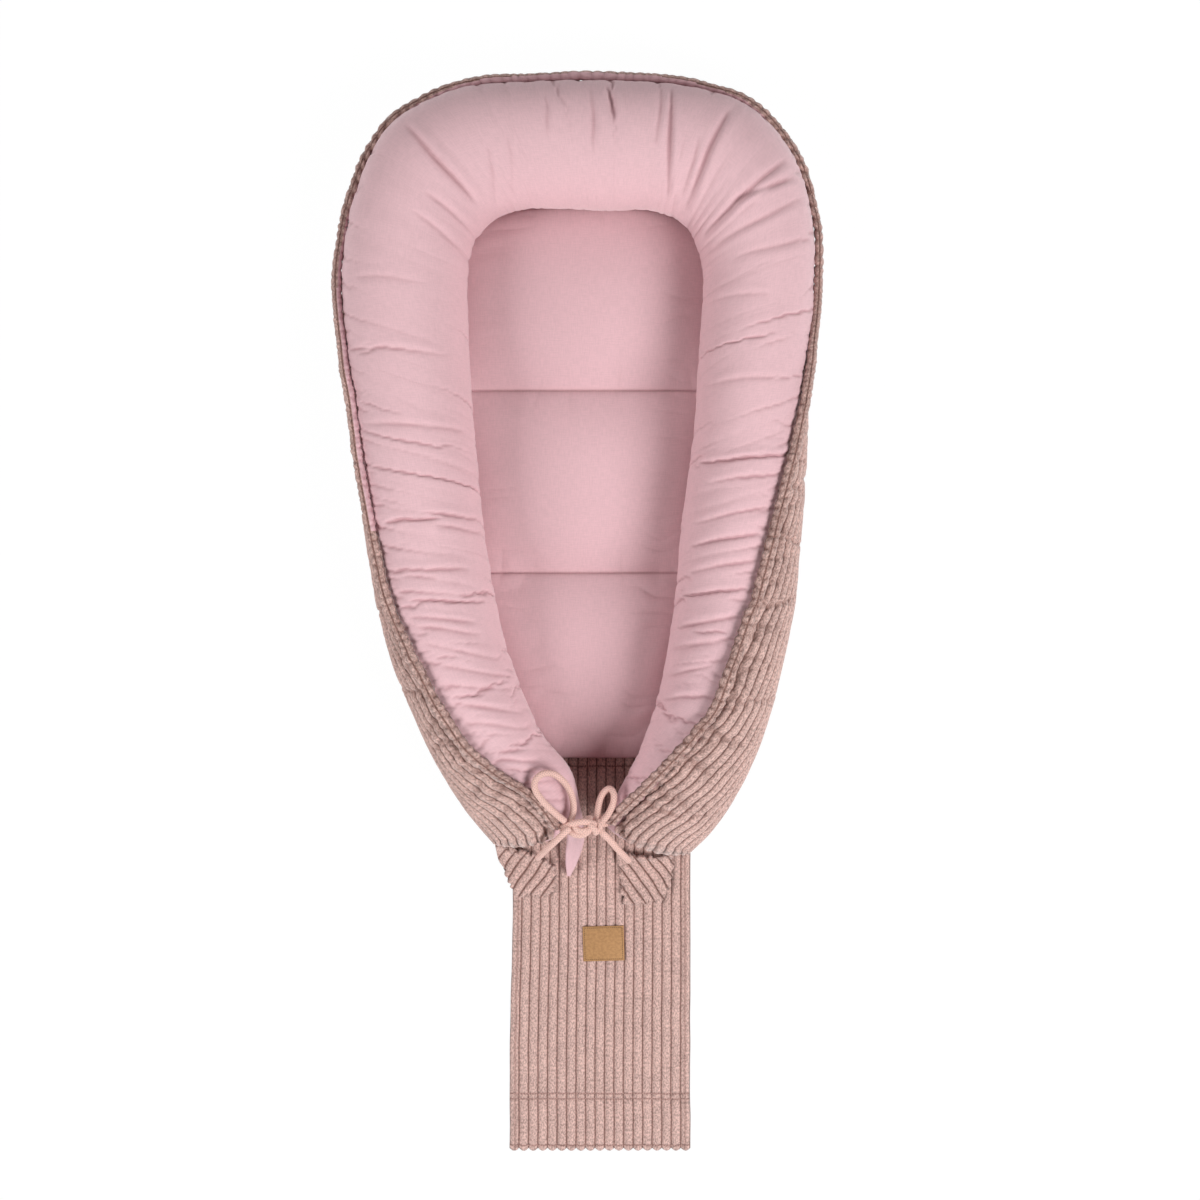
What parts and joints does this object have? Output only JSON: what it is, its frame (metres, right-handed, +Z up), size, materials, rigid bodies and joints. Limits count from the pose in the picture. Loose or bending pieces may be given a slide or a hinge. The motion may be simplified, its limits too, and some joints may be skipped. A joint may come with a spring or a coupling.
{
  "type": "infant lounger",
  "caption": "Infant lounger: a padded horseshoe bolster round a quilted mattress, drawn together at the foot by a tied drawstring, with a long folding foot flap.",
  "frame": {"origin": "on the floor, under the middle of the lounger with its flap laid flat", "axes": "+Z up, +Y towards the head end, +X to the right of the lying child's nest as seen from above with the head end up"},
  "size_m": [0.5392, 1.1943, 0.1433],
  "materials": {
    "corduroy": "wide-wale corduroy pile, dusty rose",
    "cotton": "plain-woven cotton, pink, matt",
    "wadding": "white polyester fibre filling",
    "cord": "braided cotton cord, light rose",
    "thread": "sewing thread, dusty rose",
    "gold_leather": "gold imitation leather, satin",
    "label_thread": "sewing thread, brown gold"
  },
  "bodies": {
    "nest": {"base_corduroy": "corduroy", "base_lining": "cotton", "bolster_corduroy_cover": "corduroy", "bolster_cotton_cover": "cotton", "bolster_filling": "wadding", "drawstring_casing": "corduroy", "drawstring": "cord", "bow_knot": "cord", "bow_loop_left": "cord", "bow_loop_right": "cord", "bow_tail_left": "cord", "bow_tail_right": "cord", "mattress_top_cover": "cotton", "mattress_bottom_cover": "cotton", "mattress_wadding_foot": "wadding", "mattress_wadding_middle": "wadding", "mattress_wadding_head": "wadding", "quilting_thread_lower": "thread", "quilting_thread_upper": "thread", "arm_end_cotton_tongue": "cotton", "flap_neck_lining": "cotton", "flap_neck_corduroy": "corduroy"},
    "flap": {"flap_lining": "cotton", "flap_hem": "corduroy", "flap_corduroy": "corduroy", "flap_hem_stitching_upper": "thread", "flap_hem_stitching_lower": "thread", "flap_end_stitching": "thread", "flap_edge_stitching_left": "thread", "flap_edge_stitching_right": "thread", "label_patch": "gold_leather", "label_stitching": "label_thread"},
    "left_tab": {"end_tab_left": "corduroy"},
    "right_tab": {"end_tab_right": "corduroy"}
  },
  "joints": [
    {"name": "flap_fold", "type": "hinge", "parent": "nest", "child": "flap", "pos_m": [0.023, -0.33505, 0.0041], "axis": [-1, 0, 0], "range_deg": [0, 125]},
    {"name": "left_end_tab_fold", "type": "hinge", "parent": "nest", "child": "left_tab", "pos_m": [-0.061, -0.2578, 0.0044], "axis": [-0.9629, 0.2697, 0], "range_deg": [0, 50]},
    {"name": "right_end_tab_fold", "type": "hinge", "parent": "nest", "child": "right_tab", "pos_m": [0.069, -0.2642, 0.0044], "axis": [-0.9929, -0.1191, 0], "range_deg": [0, 50]}
  ]
}
